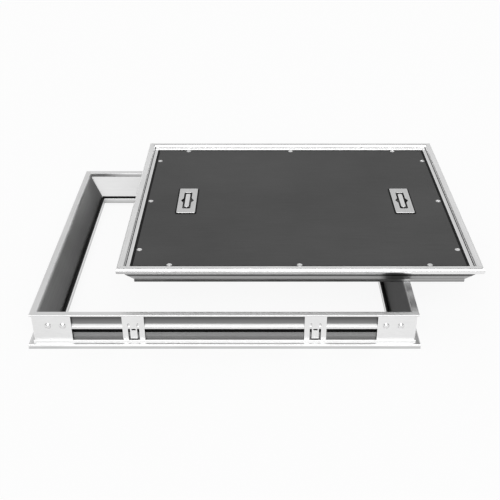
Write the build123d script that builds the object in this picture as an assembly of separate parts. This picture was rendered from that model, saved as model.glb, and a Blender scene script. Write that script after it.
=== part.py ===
from build123d import *
import os

# Lift-out floor access hatch: a mitred frame that is cast into a floor, and its recessed cover,
# which lies on top of the frame, moved to the right and to the back.
# Millimetres, +Z up, +X to the right, +Y to the back. The origin is the middle of the clear
# opening, in the plane that the frame stands on.

# Driving dimensions of the frame
CLEAR_WIDTH = 914.0           # clear opening, 36 in
CLEAR_DEPTH = 762.0           # clear opening, 30 in
FRAME_HEIGHT = 104.0
FLANGE_WIDTH = 17.5           # top flange, from its outer edge to the seat
SEAT_HEIGHT = 14.0            # upright part of the inner face, below the top
SLOPE_RUN = 44.0              # how far the sloped inner wall comes in
LEDGE_Z = 28.0                # top of the gasket ledge
LEDGE_WIDTH = 6.5
WALL = 3.0                    # wall of the extrusions
CURB_BOTTOM = 10.0            # lower edge of the upright curb under the ledge

FLANGE_THICK = 4.0
LIP_THICK = 3.0               # lip that hangs from the top flange's outer edge
LIP_DROP = 5.0
WEB_OUT = 14.5                # outer face of the upright web
RIB_OUT = 9.0                 # outer face of the rib, which the corner brackets lie on
RIB_LOW = 52.5
RIB_FLAT_HIGH = 58.0          # upper end of the rib's upright face
RIB_HIGH = 69.0               # where the rib's sloped shoulder meets the web
RIB_ROUND = 14.0
SLOT_LOW = 37.5               # long groove under the rib
SLOT_DEEP = 8.5
FOOT_OUT = 10.0               # how far the foot stands out past the top flange
FOOT_HEIGHT = 14.0
FOOT_ROUND = 3.0
STEP_OUT = 3.0                # raised step of the foot, which the brackets and clips stand on
STEP_HEIGHT = 19.5

# Corner brackets, rivets and anchor clips
BRACKET_OUT = 5.0
BRACKET_LEG = 110.0           # from the frame's outer corner
BRACKET_ROUND = 3.0
RIVET_ALONG = (47.0, 87.0)    # from the frame's outer corner
RIVET_Z = 66.0
RIVET_HEAD_RADIUS = 9.0
RIVET_HEAD_HIGH = 4.6
RIVET_RADIUS = 4.0
RIVET_TAIL_RADIUS = 5.5
RIVET_TAIL = 3.0
HOLE_SLACK = 0.1

CLIP_OUT = 6.0
CLIP_WIDTH = 60.0
CLIP_AT_LONG = 247.0          # clip centres on the front and back rails
CLIP_AT_SHORT = 180.0         # clip centres on the left and right rails
TONGUE_CUT_AT = 12.5
TONGUE_CUT_WIDTH = 5.5
TONGUE_TOP = 73.0
TONGUE_BOTTOM = 23.0
NAIL_SLOT_LONG = 12.0
NAIL_SLOT_HIGH = 5.0
NAIL_SLOT_Z = 52.5

GASKET_WIDTH = 5.6
GASKET_HEIGHT = 7.0
GASKET_GAP = 0.3

# Driving dimensions of the cover, heights measured from the top of its rim
COVER_GAP = 19.0              # from the frame's outer edge to the seated cover
COVER_SHIFT_X = 207.0         # where the cover lies
COVER_SHIFT_Y = 80.0
TUBE_RADIUS = 11.0            # round outer edge of the rim
RIM_WIDTH = 34.0              # outer edge to the inner wall that stands round the board
RIM_WALL = 3.0
LAND_DOWN = 13.0              # flat land between the tube and the inner wall
LAND_THICK = 4.0
GROOVE_WIDTH = 1.5            # between the tube and the land
GROOVE_DEEP = 2.4
RECESS = 15.0                 # from the rim's top to the board
BOARD_THICK = 6.0
BOARD_GAP = 7.0               # filled by the board's seal
SEAL_GAP = 0.2
SEAL_DOWN = 0.5               # from the board's top to the seal's
SHELF_REACH = 62.0
SKIRT_START = 14.0
SKIRT_END = 42.0
SKIRT_SLOPE_LOW = 60.0
COVER_BOTTOM = 69.0
RETURN_REACH = 55.0
PAN_THICK = 3.0
PAN_GAP = 4.0

BEAM_AT = (-202.0, 0.0, 202.0)
BEAM_WIDTH = 40.0
BEAM_HALF_LONG = 364.0
STIFFENER_AT = (-343.0, -115.0, 115.0, 343.0)
STIFFENER_HALF_LONG = 450.0
STIFFENER_BELOW = 16.0        # below the cover's bottom
STIFFENER_CHANNEL = 40.0
STIFFENER_WIDTH = 62.0
PAN_RIVET_RADIUS = 2.4
PAN_RIVET_HEAD = 4.5
PAN_RIVET_HEAD_HIGH = 1.5
STIFFENER_RIVET_AT = (-350.0, -120.0, 120.0, 350.0)
EDGE_RIVET_AT_LONG = (-400.0, -200.0, 0.0, 200.0, 400.0)
EDGE_RIVET_AT_SHORT = (-220.0, 0.0, 220.0)
KEY_SECTION = (6.0, 16.0)     # corner keys inside the tube, across the rim
KEY_LEG = 80.0

SCREW_INSET_SHORT = 50.0      # left and right rows, from the rim's outer edge
SCREW_INSET_LONG = 45.0       # front and back rows, close to the board's edge
SCREW_AT_LONG = (-363.0, 0.0, 363.0)
SCREW_AT_SHORT = (-302.0, 0.0, 302.0)
SCREW_HEAD_RADIUS = 7.5
SCREW_HEAD_HIGH = 3.2
SCREW_RADIUS = 2.5
SCREW_BELOW = 5.0
SCREW_DRIVE_WIDTH = 1.4
SCREW_DRIVE_LONG = 8.0
SCREW_DRIVE_DEEP = 1.2

# Lift handles, heights measured from the top of the rim
HANDLE_AT = 340.0
PLATE_WIDTH = 58.0
PLATE_LONG = 165.0
PLATE_THICK = 2.5
PLATE_BEVEL = 1.4
PLATE_SEAL = (66.0, 173.0, 1.0)
PLATE_SEAL_ROUND = 5.0
POCKET_WIDTH = 25.0
POCKET_LONG = 110.0
POCKET_ROUND = 5.0
NOTCH_OUT = 8.0
NOTCH_LONG = 30.0
CUP_WIDTH = 46.0
CUP_LONG = 146.0
CUP_ROUND = 8.0
CUP_WALL = 2.0
CUP_BOTTOM = 32.0
CUP_CLEAR = 1.0
BAR_WIDTH = 14.0
BAR_LONG = 90.0
BAR_THICK = 5.0
BAR_ROUND = 1.2
LEG_AT = 36.0
LEG_RADIUS = 3.5
SHOULDER_RADIUS = 5.5
LEG_BOTTOM = 62.0
REST_GAP = 0.3
BUSH_RADIUS = 6.0
BUSH_FLANGE_RADIUS = 8.0
BUSH_FLANGE = 2.0
BUSH_BOTTOM = 36.0
BUSH_CLEAR = 0.05
COLLAR_RADIUS = 6.5
COLLAR_THICK = 2.5

FRAME_WIDTH = CLEAR_WIDTH + 2 * (FLANGE_WIDTH + SLOPE_RUN + LEDGE_WIDTH)
FRAME_DEPTH = CLEAR_DEPTH + 2 * (FLANGE_WIDTH + SLOPE_RUN + LEDGE_WIDTH)
COVER_WIDTH = FRAME_WIDTH - 2 * COVER_GAP
COVER_DEPTH = FRAME_DEPTH - 2 * COVER_GAP
RIM_TOP_Z = FRAME_HEIGHT + STIFFENER_BELOW + COVER_BOTTOM
TUBE_LOW = 2 * TUBE_RADIUS
BOARD_BOTTOM = RECESS + BOARD_THICK
SHELF_BOTTOM = BOARD_BOTTOM + RIM_WALL
PLATE_BOTTOM = RECESS - PLATE_SEAL[2]
SIDES = {"front": 0, "right": 90, "back": 180, "left": 270}
CORNERS = {"front_left": 0, "front_right": 90, "back_right": 180, "back_left": 270}
TO_COVER = Pos(COVER_SHIFT_X, COVER_SHIFT_Y, RIM_TOP_Z)


def strip(x_low, z_low, x_high, z_high):
    """A rectangle between two corners of a section."""
    return Pos((x_low + x_high) / 2, (z_low + z_high) / 2) * Rectangle(x_high - x_low, z_high - z_low)


def outline(*points):
    """A face inside a closed run of straight edges."""
    return make_face(Polyline(*points, close=True))


def side_lengths(side, width, depth):
    """How long a side is and how far it lies from the middle."""
    return (width, depth) if side in ("front", "back") else (depth, width)


def mitred(section, side, width, depth, outer, inner):
    """Run a section along one side of a rectangle and cut both ends at 45 degrees.

    The section's first axis points inwards from the rectangle's edge and its second one up.
    outer and inner say how far the section may reach out of and into the rectangle.
    """
    length, across = side_lengths(side, width, depth)
    plane = Plane(origin=(0, -across / 2, 0), x_dir=(0, 1, 0), z_dir=(1, 0, 0))
    run = extrude(plane * section, amount=length / 2 + outer, both=True)
    far, near = length / 2 + outer, length / 2 - inner
    low, high = -across / 2 - outer, -across / 2 + inner
    wedge = outline((-far, low), (far, low), (near, high), (-near, high))
    box = run.bounding_box()
    prism = Pos(0, 0, box.min.Z - 1) * extrude(wedge, amount=box.size.Z + 2)
    return Rot(0, 0, SIDES[side]) * (run & prism)


def on_side(side, width, depth, along, shape):
    """Place a shape that is made at the middle of the front edge, facing -Y."""
    _, across = side_lengths(side, width, depth)
    return Rot(0, 0, SIDES[side]) * Pos(along, -across / 2, 0) * shape


def at_corner(corner, width, depth, shape):
    """Place a shape that is made at the front left corner, with legs along +X and +Y."""
    right = 1 if "right" in corner else -1
    back = 1 if "back" in corner else -1
    return Pos(right * width / 2, back * depth / 2, 0) * Rot(0, 0, CORNERS[corner]) * shape


def rod(radius, start, end):
    """A round bar along Y, from one distance inwards to another."""
    return Pos(0, (start + end) / 2, 0) * Rot(90, 0, 0) * Cylinder(radius, end - start)


def post(radius, low, high):
    """A round bar along Z between two depths below the rim's top."""
    return Pos(0, 0, -(low + high) / 2) * Cylinder(radius, high - low)


def rivet_places(side):
    """Where the corner rivets stand along one side of the frame."""
    length, _ = side_lengths(side, FRAME_WIDTH, FRAME_DEPTH)
    return [sign * (length / 2 - along) for sign in (-1, 1) for along in RIVET_ALONG]


def frame_section():
    """Section of the frame's extrusion: channel outside, sloped wall and ledge inside."""
    top = FRAME_HEIGHT
    seat_low = top - SEAT_HEIGHT
    web_in = WEB_OUT + WALL
    slope_end = FLANGE_WIDTH + SLOPE_RUN
    lean = WALL * (SLOPE_RUN**2 + (seat_low - LEDGE_Z) ** 2) ** 0.5 / (seat_low - LEDGE_Z)
    slot_back = WEB_OUT + SLOT_DEEP
    flange = strip(0, top - FLANGE_THICK, FLANGE_WIDTH, top)
    lip = strip(0, top - LIP_DROP, LIP_THICK, top)
    web_upper = strip(WEB_OUT, RIB_LOW, web_in, top)
    web_lower = strip(WEB_OUT, 0, web_in, SLOT_LOW)
    slope = outline(
        (FLANGE_WIDTH, seat_low),
        (slope_end, LEDGE_Z),
        (slope_end - lean, LEDGE_Z),
        (FLANGE_WIDTH - lean, seat_low),
    )
    ledge = strip(WEB_OUT, LEDGE_Z - WALL, slope_end + LEDGE_WIDTH, LEDGE_Z)
    curb = strip(slope_end + LEDGE_WIDTH - WALL, CURB_BOTTOM, slope_end + LEDGE_WIDTH, LEDGE_Z)
    rib = outline(
        (web_in, RIB_LOW), (RIB_OUT, RIB_LOW), (RIB_OUT, RIB_FLAT_HIGH), (WEB_OUT, RIB_HIGH), (web_in, RIB_HIGH)
    )
    rib = fillet(rib.vertices().group_by(Axis.X)[0].sort_by(Axis.Y)[-1], RIB_ROUND)
    slot_top = strip(WEB_OUT, RIB_LOW, slot_back + WALL, RIB_LOW + WALL)
    slot_wall = strip(slot_back, SLOT_LOW - WALL, slot_back + WALL, RIB_LOW + WALL)
    slot_floor = strip(WEB_OUT, SLOT_LOW - WALL, slot_back + WALL, SLOT_LOW)
    foot = strip(-FOOT_OUT, 0, web_in, FOOT_HEIGHT)
    foot = fillet(foot.vertices().group_by(Axis.X)[0].sort_by(Axis.Y)[-1], FOOT_ROUND)
    foot += strip(STEP_OUT, 0, web_in, STEP_HEIGHT)
    foot -= strip(WALL - FOOT_OUT, WALL, WEB_OUT, FOOT_HEIGHT - WALL)
    foot -= strip(STEP_OUT + WALL, WALL, WEB_OUT, STEP_HEIGHT - WALL)
    outer = flange + lip + web_upper + web_lower + rib + foot
    return outer + slope + ledge + curb + slot_top + slot_wall + slot_floor


def frame_rail(side, section):
    """One mitred rail, drilled for the corner rivets."""
    inner = FLANGE_WIDTH + SLOPE_RUN + LEDGE_WIDTH
    rail = mitred(section, side, FRAME_WIDTH, FRAME_DEPTH, FOOT_OUT, inner)
    drill = Pos(0, 0, RIVET_Z) * rod(RIVET_RADIUS + HOLE_SLACK, RIB_OUT - 1, WEB_OUT + WALL + 1)
    for along in rivet_places(side):
        rail -= on_side(side, FRAME_WIDTH, FRAME_DEPTH, along, drill)
    return rail


def corner_bracket(corner):
    """Bent angle that lies in the channel and ties two rails together."""
    near, far = BRACKET_OUT, RIB_OUT
    angle = strip(near, near, BRACKET_LEG, far) + strip(near, near, far, BRACKET_LEG)
    angle = fillet(angle.vertices().sort_by(lambda v: v.X + v.Y)[0], BRACKET_ROUND)
    height = FRAME_HEIGHT - FLANGE_THICK - STEP_HEIGHT
    bracket = Pos(0, 0, STEP_HEIGHT) * extrude(angle, amount=height)
    for along in RIVET_ALONG:
        drill = rod(RIVET_RADIUS + HOLE_SLACK, near - 1, far + 1)
        bracket -= Pos(along, 0, RIVET_Z) * drill
        bracket -= Pos(0, along, RIVET_Z) * Rot(0, 0, -90) * drill
    return at_corner(corner, FRAME_WIDTH, FRAME_DEPTH, bracket)


def corner_rivet():
    """Rivet with a domed head outside and a flat tail inside the rail."""
    sphere = (RIVET_HEAD_RADIUS**2 + RIVET_HEAD_HIGH**2) / (2 * RIVET_HEAD_HIGH)
    head = Pos(0, BRACKET_OUT - RIVET_HEAD_HIGH + sphere, 0) * Sphere(sphere)
    head &= rod(RIVET_HEAD_RADIUS + 1, BRACKET_OUT - RIVET_HEAD_HIGH - 1, BRACKET_OUT)
    web_in = WEB_OUT + WALL
    shank = rod(RIVET_RADIUS, BRACKET_OUT, web_in)
    tail = rod(RIVET_TAIL_RADIUS, web_in, web_in + RIVET_TAIL)
    return Pos(0, 0, RIVET_Z) * (head + shank + tail)


def anchor_clip():
    """Plate in the channel with a tongue that is bent out when the frame is set in concrete."""
    low, high = STEP_HEIGHT, FRAME_HEIGHT - FLANGE_THICK
    face = strip(-CLIP_WIDTH / 2, low, CLIP_WIDTH / 2, high)
    for sign in (-1, 1):
        cut = Pos(sign * TONGUE_CUT_AT, 0)
        half = TONGUE_CUT_WIDTH / 2
        straight = strip(-half, low - 1, half, TONGUE_TOP - half)
        round_end = Pos(0, TONGUE_TOP - half) * Circle(half)
        face -= cut * (straight + round_end)
    face -= strip(-TONGUE_CUT_AT, low - 1, TONGUE_CUT_AT, TONGUE_BOTTOM)
    face -= Pos(0, NAIL_SLOT_Z) * SlotOverall(NAIL_SLOT_LONG, NAIL_SLOT_HIGH)
    plane = Plane(origin=(0, CLIP_OUT, 0), x_dir=(1, 0, 0), z_dir=(0, -1, 0))
    return extrude(plane * face, amount=CLIP_OUT - RIB_OUT)


def gasket_section():
    """Solid rubber strip with a rounded top, on the ledge."""
    low = FLANGE_WIDTH + SLOPE_RUN + GASKET_GAP
    section = strip(low, LEDGE_Z, low + GASKET_WIDTH, LEDGE_Z + GASKET_HEIGHT)
    return fillet(section.vertices().group_by(Axis.Y)[-1], GASKET_WIDTH * 0.35)


def rim_section():
    """Section of the cover's edge: round tube, groove, lower land, board shelf and sloped skirt."""
    hollow = Pos(TUBE_RADIUS, -TUBE_RADIUS) * Circle(TUBE_RADIUS - RIM_WALL)
    tube = Pos(TUBE_RADIUS, -TUBE_RADIUS) * Circle(TUBE_RADIUS)
    land = strip(TUBE_RADIUS, -LAND_DOWN - LAND_THICK, RIM_WIDTH, -LAND_DOWN)
    groove = strip(TUBE_LOW, -LAND_DOWN - GROOVE_DEEP, TUBE_LOW + GROOVE_WIDTH, 0)
    inner_wall = strip(RIM_WIDTH - RIM_WALL, -SHELF_BOTTOM, RIM_WIDTH, -LAND_DOWN)
    drop = SKIRT_SLOPE_LOW - TUBE_LOW
    run = SKIRT_END - SKIRT_START
    lean = RIM_WALL * (run**2 + drop**2) ** 0.5 / drop
    shelf = outline(
        (TUBE_RADIUS, -BOARD_BOTTOM),
        (TUBE_RADIUS, -TUBE_LOW),
        (SKIRT_START, -TUBE_LOW),
        (SKIRT_START + run * (SHELF_BOTTOM - TUBE_LOW) / drop, -SHELF_BOTTOM),
        (SHELF_REACH, -SHELF_BOTTOM),
        (SHELF_REACH, -BOARD_BOTTOM),
    )
    skirt = outline(
        (SKIRT_START, -TUBE_LOW),
        (SKIRT_END, -SKIRT_SLOPE_LOW),
        (SKIRT_END + lean, -SKIRT_SLOPE_LOW),
        (SKIRT_START + lean, -TUBE_LOW),
    )
    hem = strip(SKIRT_END, -COVER_BOTTOM, SKIRT_END + lean, -SKIRT_SLOPE_LOW)
    back = strip(SKIRT_END, -COVER_BOTTOM, RETURN_REACH, -COVER_BOTTOM + RIM_WALL)
    return (tube + land + shelf - hollow - groove) + inner_wall + skirt + hem + back


def screw_places():
    """Where the board's screws stand, in the cover's own plan."""
    x_edge = COVER_WIDTH / 2 - SCREW_INSET_SHORT
    y_edge = COVER_DEPTH / 2 - SCREW_INSET_LONG
    rows = [(x, sign * y_edge) for sign in (-1, 1) for x in SCREW_AT_LONG]
    columns = [(sign * x_edge, y) for sign in (-1, 1) for y in SCREW_AT_SHORT]
    return rows + columns


def cover_rim(side, section):
    """One mitred edge of the cover, drilled for its screws and for the pan's rivets."""
    rim = mitred(section, side, COVER_WIDTH, COVER_DEPTH, 0, SHELF_REACH)
    for x, y in screw_places():
        rim -= Pos(x, y, 0) * post(SCREW_RADIUS + HOLE_SLACK, RECESS, SHELF_BOTTOM + 1)
    for x, y in pan_edge_places():
        rim -= Pos(x, y, 0) * post(PAN_RIVET_RADIUS + HOLE_SLACK, COVER_BOTTOM - 6, COVER_BOTTOM + 1)
    return TO_COVER * rim


def pan_edge_places():
    """Where the rivets stand that hold the pan to the rim's bottom flange."""
    inset = (PAN_GAP + SKIRT_END + RETURN_REACH) / 2
    x_edge = COVER_WIDTH / 2 - inset
    y_edge = COVER_DEPTH / 2 - inset
    rows = [(x, sign * y_edge) for sign in (-1, 1) for x in EDGE_RIVET_AT_LONG]
    columns = [(sign * x_edge, y) for sign in (-1, 1) for y in EDGE_RIVET_AT_SHORT]
    return rows + columns


def corner_key(corner):
    """Angle piece inside the hollow tube, which lines up two mitred edges."""
    low, high = KEY_SECTION
    angle = strip(low, low, KEY_LEG, high) + strip(low, low, high, KEY_LEG)
    key = Pos(0, 0, -high) * extrude(angle, amount=high - low)
    return TO_COVER * at_corner(corner, COVER_WIDTH, COVER_DEPTH, key)


def deck_board():
    """Dark board in the cover's recess, with holes for the screws and the handle cups."""
    inset = RIM_WIDTH + BOARD_GAP
    board = Rectangle(COVER_WIDTH - 2 * inset, COVER_DEPTH - 2 * inset)
    for x, y in screw_places():
        board -= Pos(x, y) * Circle(SCREW_RADIUS + HOLE_SLACK)
    for sign in (-1, 1):
        board -= Pos(sign * HANDLE_AT, 0) * RectangleRounded(
            CUP_WIDTH + 2 * CUP_CLEAR, CUP_LONG + 2 * CUP_CLEAR, CUP_ROUND + CUP_CLEAR
        )
    return TO_COVER * Pos(0, 0, -BOARD_BOTTOM) * extrude(board, amount=BOARD_THICK)


def board_seal():
    """Black rubber in the gap between the board and the rim's inner wall."""
    outer, inner = RIM_WIDTH + SEAL_GAP, RIM_WIDTH + BOARD_GAP - SEAL_GAP
    ring = Rectangle(COVER_WIDTH - 2 * outer, COVER_DEPTH - 2 * outer)
    ring -= Rectangle(COVER_WIDTH - 2 * inner, COVER_DEPTH - 2 * inner)
    return TO_COVER * Pos(0, 0, -BOARD_BOTTOM) * extrude(ring, amount=BOARD_THICK - SEAL_DOWN)


def cover_pan():
    """Sheet that closes the cover from below."""
    inset = SKIRT_END + PAN_GAP
    pan = Rectangle(COVER_WIDTH - 2 * inset, COVER_DEPTH - 2 * inset)
    for x, y in pan_edge_places() + stiffener_rivet_places():
        pan -= Pos(x, y) * Circle(PAN_RIVET_RADIUS + HOLE_SLACK)
    return TO_COVER * Pos(0, 0, -COVER_BOTTOM + RIM_WALL) * extrude(pan, amount=PAN_THICK)


def deck_beam(x):
    """Channel between the pan and the board that carries the load on the board."""
    low, high = -COVER_BOTTOM + RIM_WALL + PAN_THICK, -BOARD_BOTTOM
    section = strip(0, low, RIM_WALL, high)
    section += strip(0, low, BEAM_WIDTH, low + RIM_WALL)
    section += strip(0, high - RIM_WALL, BEAM_WIDTH, high)
    plane = Plane(origin=(x - BEAM_WIDTH / 2, 0, 0), x_dir=(1, 0, 0), z_dir=(0, -1, 0))
    return TO_COVER * extrude(plane * section, amount=BEAM_HALF_LONG, both=True)


def stiffener_rivet_places():
    """Where the rivets stand that hold the stiffeners to the pan."""
    reach = (STIFFENER_WIDTH + STIFFENER_CHANNEL) / 4
    return [(x, y + sign * reach) for y in STIFFENER_AT for sign in (-1, 1) for x in STIFFENER_RIVET_AT]


def stiffener(y):
    """Hat section under the pan, from left to right. The cover stands on these when it is laid down."""
    high = -COVER_BOTTOM + RIM_WALL
    low = -COVER_BOTTOM - STIFFENER_BELOW
    half, wide = STIFFENER_CHANNEL / 2, STIFFENER_WIDTH / 2
    section = strip(-half, low, half, low + RIM_WALL)
    for sign in (-1, 1):
        inner, outer = sorted((sign * (half - RIM_WALL), sign * half))
        section += strip(inner, low, outer, high)
        inner, outer = sorted((sign * (half - RIM_WALL), sign * wide))
        section += strip(inner, high - RIM_WALL, outer, high)
    plane = Plane(origin=(0, y, 0), x_dir=(0, 1, 0), z_dir=(1, 0, 0))
    hat = extrude(plane * section, amount=STIFFENER_HALF_LONG, both=True)
    drill = post(PAN_RIVET_RADIUS + HOLE_SLACK, -high - 1, -high + RIM_WALL + 1)
    for hole_x, hole_y in stiffener_rivet_places():
        if abs(hole_y - y) < wide:
            hat -= Pos(hole_x, hole_y, 0) * drill
    return TO_COVER * hat


def pan_rivet():
    """Small rivet through the pan and the flange below it."""
    low, high = COVER_BOTTOM, COVER_BOTTOM - RIM_WALL - PAN_THICK
    shank = post(PAN_RIVET_RADIUS, high, low)
    head = post(PAN_RIVET_HEAD, low, low + PAN_RIVET_HEAD_HIGH)
    tail = post(PAN_RIVET_HEAD * 0.8, high - PAN_RIVET_HEAD_HIGH, high)
    return shank + head + tail


def board_screw():
    """Round-head screw with a cross recess."""
    sphere = (SCREW_HEAD_RADIUS**2 + SCREW_HEAD_HIGH**2) / (2 * SCREW_HEAD_HIGH)
    head = Pos(0, 0, -RECESS + SCREW_HEAD_HIGH - sphere) * Sphere(sphere)
    head &= post(SCREW_HEAD_RADIUS + 1, RECESS - SCREW_HEAD_HIGH - 1, RECESS)
    shank = post(SCREW_RADIUS, RECESS, SHELF_BOTTOM + SCREW_BELOW)
    drive_z = -RECESS + SCREW_HEAD_HIGH - SCREW_DRIVE_DEEP / 2 + 0.3
    drive = Box(SCREW_DRIVE_LONG, SCREW_DRIVE_WIDTH, SCREW_DRIVE_DEEP + 0.6)
    drive += Rot(0, 0, 90) * drive
    return head + shank - Pos(0, 0, drive_z) * drive


def handle_place(sign):
    """The middle of one lift handle, at the height of the rim's top."""
    return TO_COVER * Pos(sign * HANDLE_AT, 0, 0)


def handle_plate(sign):
    """Raised cover plate with a bevelled edge, a pocket and two finger notches."""
    low = -PLATE_BOTTOM
    plate = Pos(0, 0, low) * extrude(RectangleRounded(PLATE_WIDTH, PLATE_LONG, 3.0), amount=PLATE_THICK)
    plate = chamfer(plate.faces().sort_by(Axis.Z)[-1].edges(), PLATE_BEVEL)
    pocket = RectangleRounded(POCKET_WIDTH, POCKET_LONG, POCKET_ROUND)
    notch_x = POCKET_WIDTH / 2
    pocket += outline(
        (notch_x, -NOTCH_LONG / 2), (notch_x + NOTCH_OUT, 0), (notch_x, NOTCH_LONG / 2),
        (-notch_x, NOTCH_LONG / 2), (-notch_x - NOTCH_OUT, 0), (-notch_x, -NOTCH_LONG / 2),
    )
    plate -= Pos(0, 0, low - 1) * extrude(pocket, amount=PLATE_THICK + 2)
    return handle_place(sign) * plate


def handle_seal(sign):
    """Thin black seal under the plate, which stands out a little all round it."""
    wide, long, thick = PLATE_SEAL
    seal = RectangleRounded(wide, long, PLATE_SEAL_ROUND)
    seal -= RectangleRounded(CUP_WIDTH - 2 * CUP_WALL, CUP_LONG - 2 * CUP_WALL, CUP_ROUND - CUP_WALL)
    return handle_place(sign) * Pos(0, 0, -RECESS) * extrude(seal, amount=thick)


def handle_cup(sign):
    """Closed cup under the plate, which the bar sinks into."""
    outer = RectangleRounded(CUP_WIDTH, CUP_LONG, CUP_ROUND)
    inner = RectangleRounded(CUP_WIDTH - 2 * CUP_WALL, CUP_LONG - 2 * CUP_WALL, CUP_ROUND - CUP_WALL)
    cup = Pos(0, 0, -CUP_BOTTOM) * extrude(outer, amount=CUP_BOTTOM - RECESS)
    cup -= Pos(0, 0, -CUP_BOTTOM + CUP_WALL) * extrude(inner, amount=CUP_BOTTOM - RECESS)
    for end in (-1, 1):
        cup -= Pos(0, end * LEG_AT, 0) * post(BUSH_RADIUS, CUP_BOTTOM - CUP_WALL - 1, CUP_BOTTOM + 1)
    return handle_place(sign) * cup


def handle_bar(sign):
    """Lift bar with two legs that slide through the bushes."""
    top = -PLATE_BOTTOM + PLATE_THICK
    flat = RectangleRounded(BAR_WIDTH, BAR_LONG, BAR_WIDTH * 0.45)
    bar = Pos(0, 0, top - BAR_THICK) * extrude(flat, amount=BAR_THICK)
    bar = fillet(bar.faces().sort_by(Axis.Z)[-1].edges(), BAR_ROUND)
    floor = CUP_BOTTOM - CUP_WALL
    for end in (-1, 1):
        shoulder = post(SHOULDER_RADIUS, BAR_THICK - top - 0.5, floor - REST_GAP)
        bar += Pos(0, end * LEG_AT, 0) * (shoulder + post(LEG_RADIUS, floor - 1, LEG_BOTTOM))
    return handle_place(sign) * bar


def handle_bushes(sign):
    """Two flanged bushes that guide the legs."""
    bush = post(BUSH_RADIUS, CUP_BOTTOM - CUP_WALL, BUSH_BOTTOM)
    bush += post(BUSH_FLANGE_RADIUS, CUP_BOTTOM, CUP_BOTTOM + BUSH_FLANGE)
    bush -= post(LEG_RADIUS + BUSH_CLEAR, CUP_BOTTOM - CUP_WALL - 1, BUSH_BOTTOM + 1)
    return Compound(children=[handle_place(sign) * Pos(0, end * LEG_AT, 0) * bush for end in (-1, 1)])


def handle_collars(sign):
    """Two collars on the ends of the legs, which stop the bar at the top of its travel."""
    collar = post(COLLAR_RADIUS, LEG_BOTTOM - COLLAR_THICK, LEG_BOTTOM) - post(LEG_RADIUS, 0, LEG_BOTTOM + 1)
    return Compound(children=[handle_place(sign) * Pos(0, end * LEG_AT, 0) * collar for end in (-1, 1)])


def frame_nodes():
    """Every piece of the frame, by name."""
    nodes = {}
    section = frame_section()
    gasket = gasket_section()
    reach = FLANGE_WIDTH + SLOPE_RUN + LEDGE_WIDTH
    rivets = []
    for side in SIDES:
        nodes[f"frame_rail_{side}"] = frame_rail(side, section)
        nodes[f"seat_gasket_{side}"] = mitred(gasket, side, FRAME_WIDTH, FRAME_DEPTH, 0, reach)
        along = CLIP_AT_LONG if side in ("front", "back") else CLIP_AT_SHORT
        for number, place in enumerate((-along, along), start=1):
            clip = on_side(side, FRAME_WIDTH, FRAME_DEPTH, place, anchor_clip())
            nodes[f"anchor_clip_{side}_{number}"] = clip
        rivets += [on_side(side, FRAME_WIDTH, FRAME_DEPTH, x, corner_rivet()) for x in rivet_places(side)]
    for corner in CORNERS:
        nodes[f"corner_bracket_{corner}"] = corner_bracket(corner)
    nodes["corner_rivets"] = Compound(children=rivets)
    return nodes


def cover_nodes():
    """Every piece of the cover, by name."""
    nodes = {"deck_board": deck_board(), "board_seal": board_seal(), "cover_pan": cover_pan()}
    section = rim_section()
    for side in SIDES:
        nodes[f"cover_rim_{side}"] = cover_rim(side, section)
    for corner in CORNERS:
        nodes[f"rim_key_{corner}"] = corner_key(corner)
    for number, x in enumerate(BEAM_AT, start=1):
        nodes[f"deck_beam_{number}"] = deck_beam(x)
    for number, y in enumerate(STIFFENER_AT, start=1):
        nodes[f"pan_stiffener_{number}"] = stiffener(y)
    screw, rivet = board_screw(), pan_rivet()
    nodes["board_screws"] = Compound(children=[TO_COVER * Pos(x, y, 0) * screw for x, y in screw_places()])
    places = pan_edge_places() + stiffener_rivet_places()
    nodes["pan_rivets"] = Compound(children=[TO_COVER * Pos(x, y, 0) * rivet for x, y in places])
    for name, sign in (("left", -1), ("right", 1)):
        nodes[f"handle_plate_{name}"] = handle_plate(sign)
        nodes[f"handle_seal_{name}"] = handle_seal(sign)
        nodes[f"handle_cup_{name}"] = handle_cup(sign)
        nodes[f"handle_bar_{name}"] = handle_bar(sign)
        nodes[f"handle_bushes_{name}"] = handle_bushes(sign)
        nodes[f"handle_collars_{name}"] = handle_collars(sign)
    return nodes


os.makedirs("parts", exist_ok=True)
for name, shape in {**frame_nodes(), **cover_nodes()}.items():
    export_step(shape, f"parts/{name}.step")
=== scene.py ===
import math

import bmesh
import bpy
import numpy as np
from mathutils.geometry import tessellate_polygon
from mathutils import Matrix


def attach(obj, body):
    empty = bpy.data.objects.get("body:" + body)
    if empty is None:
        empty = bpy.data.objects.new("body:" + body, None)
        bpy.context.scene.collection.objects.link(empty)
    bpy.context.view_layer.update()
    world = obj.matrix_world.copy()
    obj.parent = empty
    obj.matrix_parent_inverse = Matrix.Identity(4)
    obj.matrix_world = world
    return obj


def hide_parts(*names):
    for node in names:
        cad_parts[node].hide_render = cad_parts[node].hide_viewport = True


# Lift-out floor hatch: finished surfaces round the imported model. Lengths in the shape functions
# are millimetres in the model's own frame, and become metres when a piece is made.
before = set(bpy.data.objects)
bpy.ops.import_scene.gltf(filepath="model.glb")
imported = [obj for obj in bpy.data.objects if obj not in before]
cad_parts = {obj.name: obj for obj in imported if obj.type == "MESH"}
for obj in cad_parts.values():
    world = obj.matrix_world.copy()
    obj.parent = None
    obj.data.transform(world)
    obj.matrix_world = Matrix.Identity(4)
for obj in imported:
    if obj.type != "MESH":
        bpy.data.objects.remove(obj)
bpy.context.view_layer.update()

MM = 0.001

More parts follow.
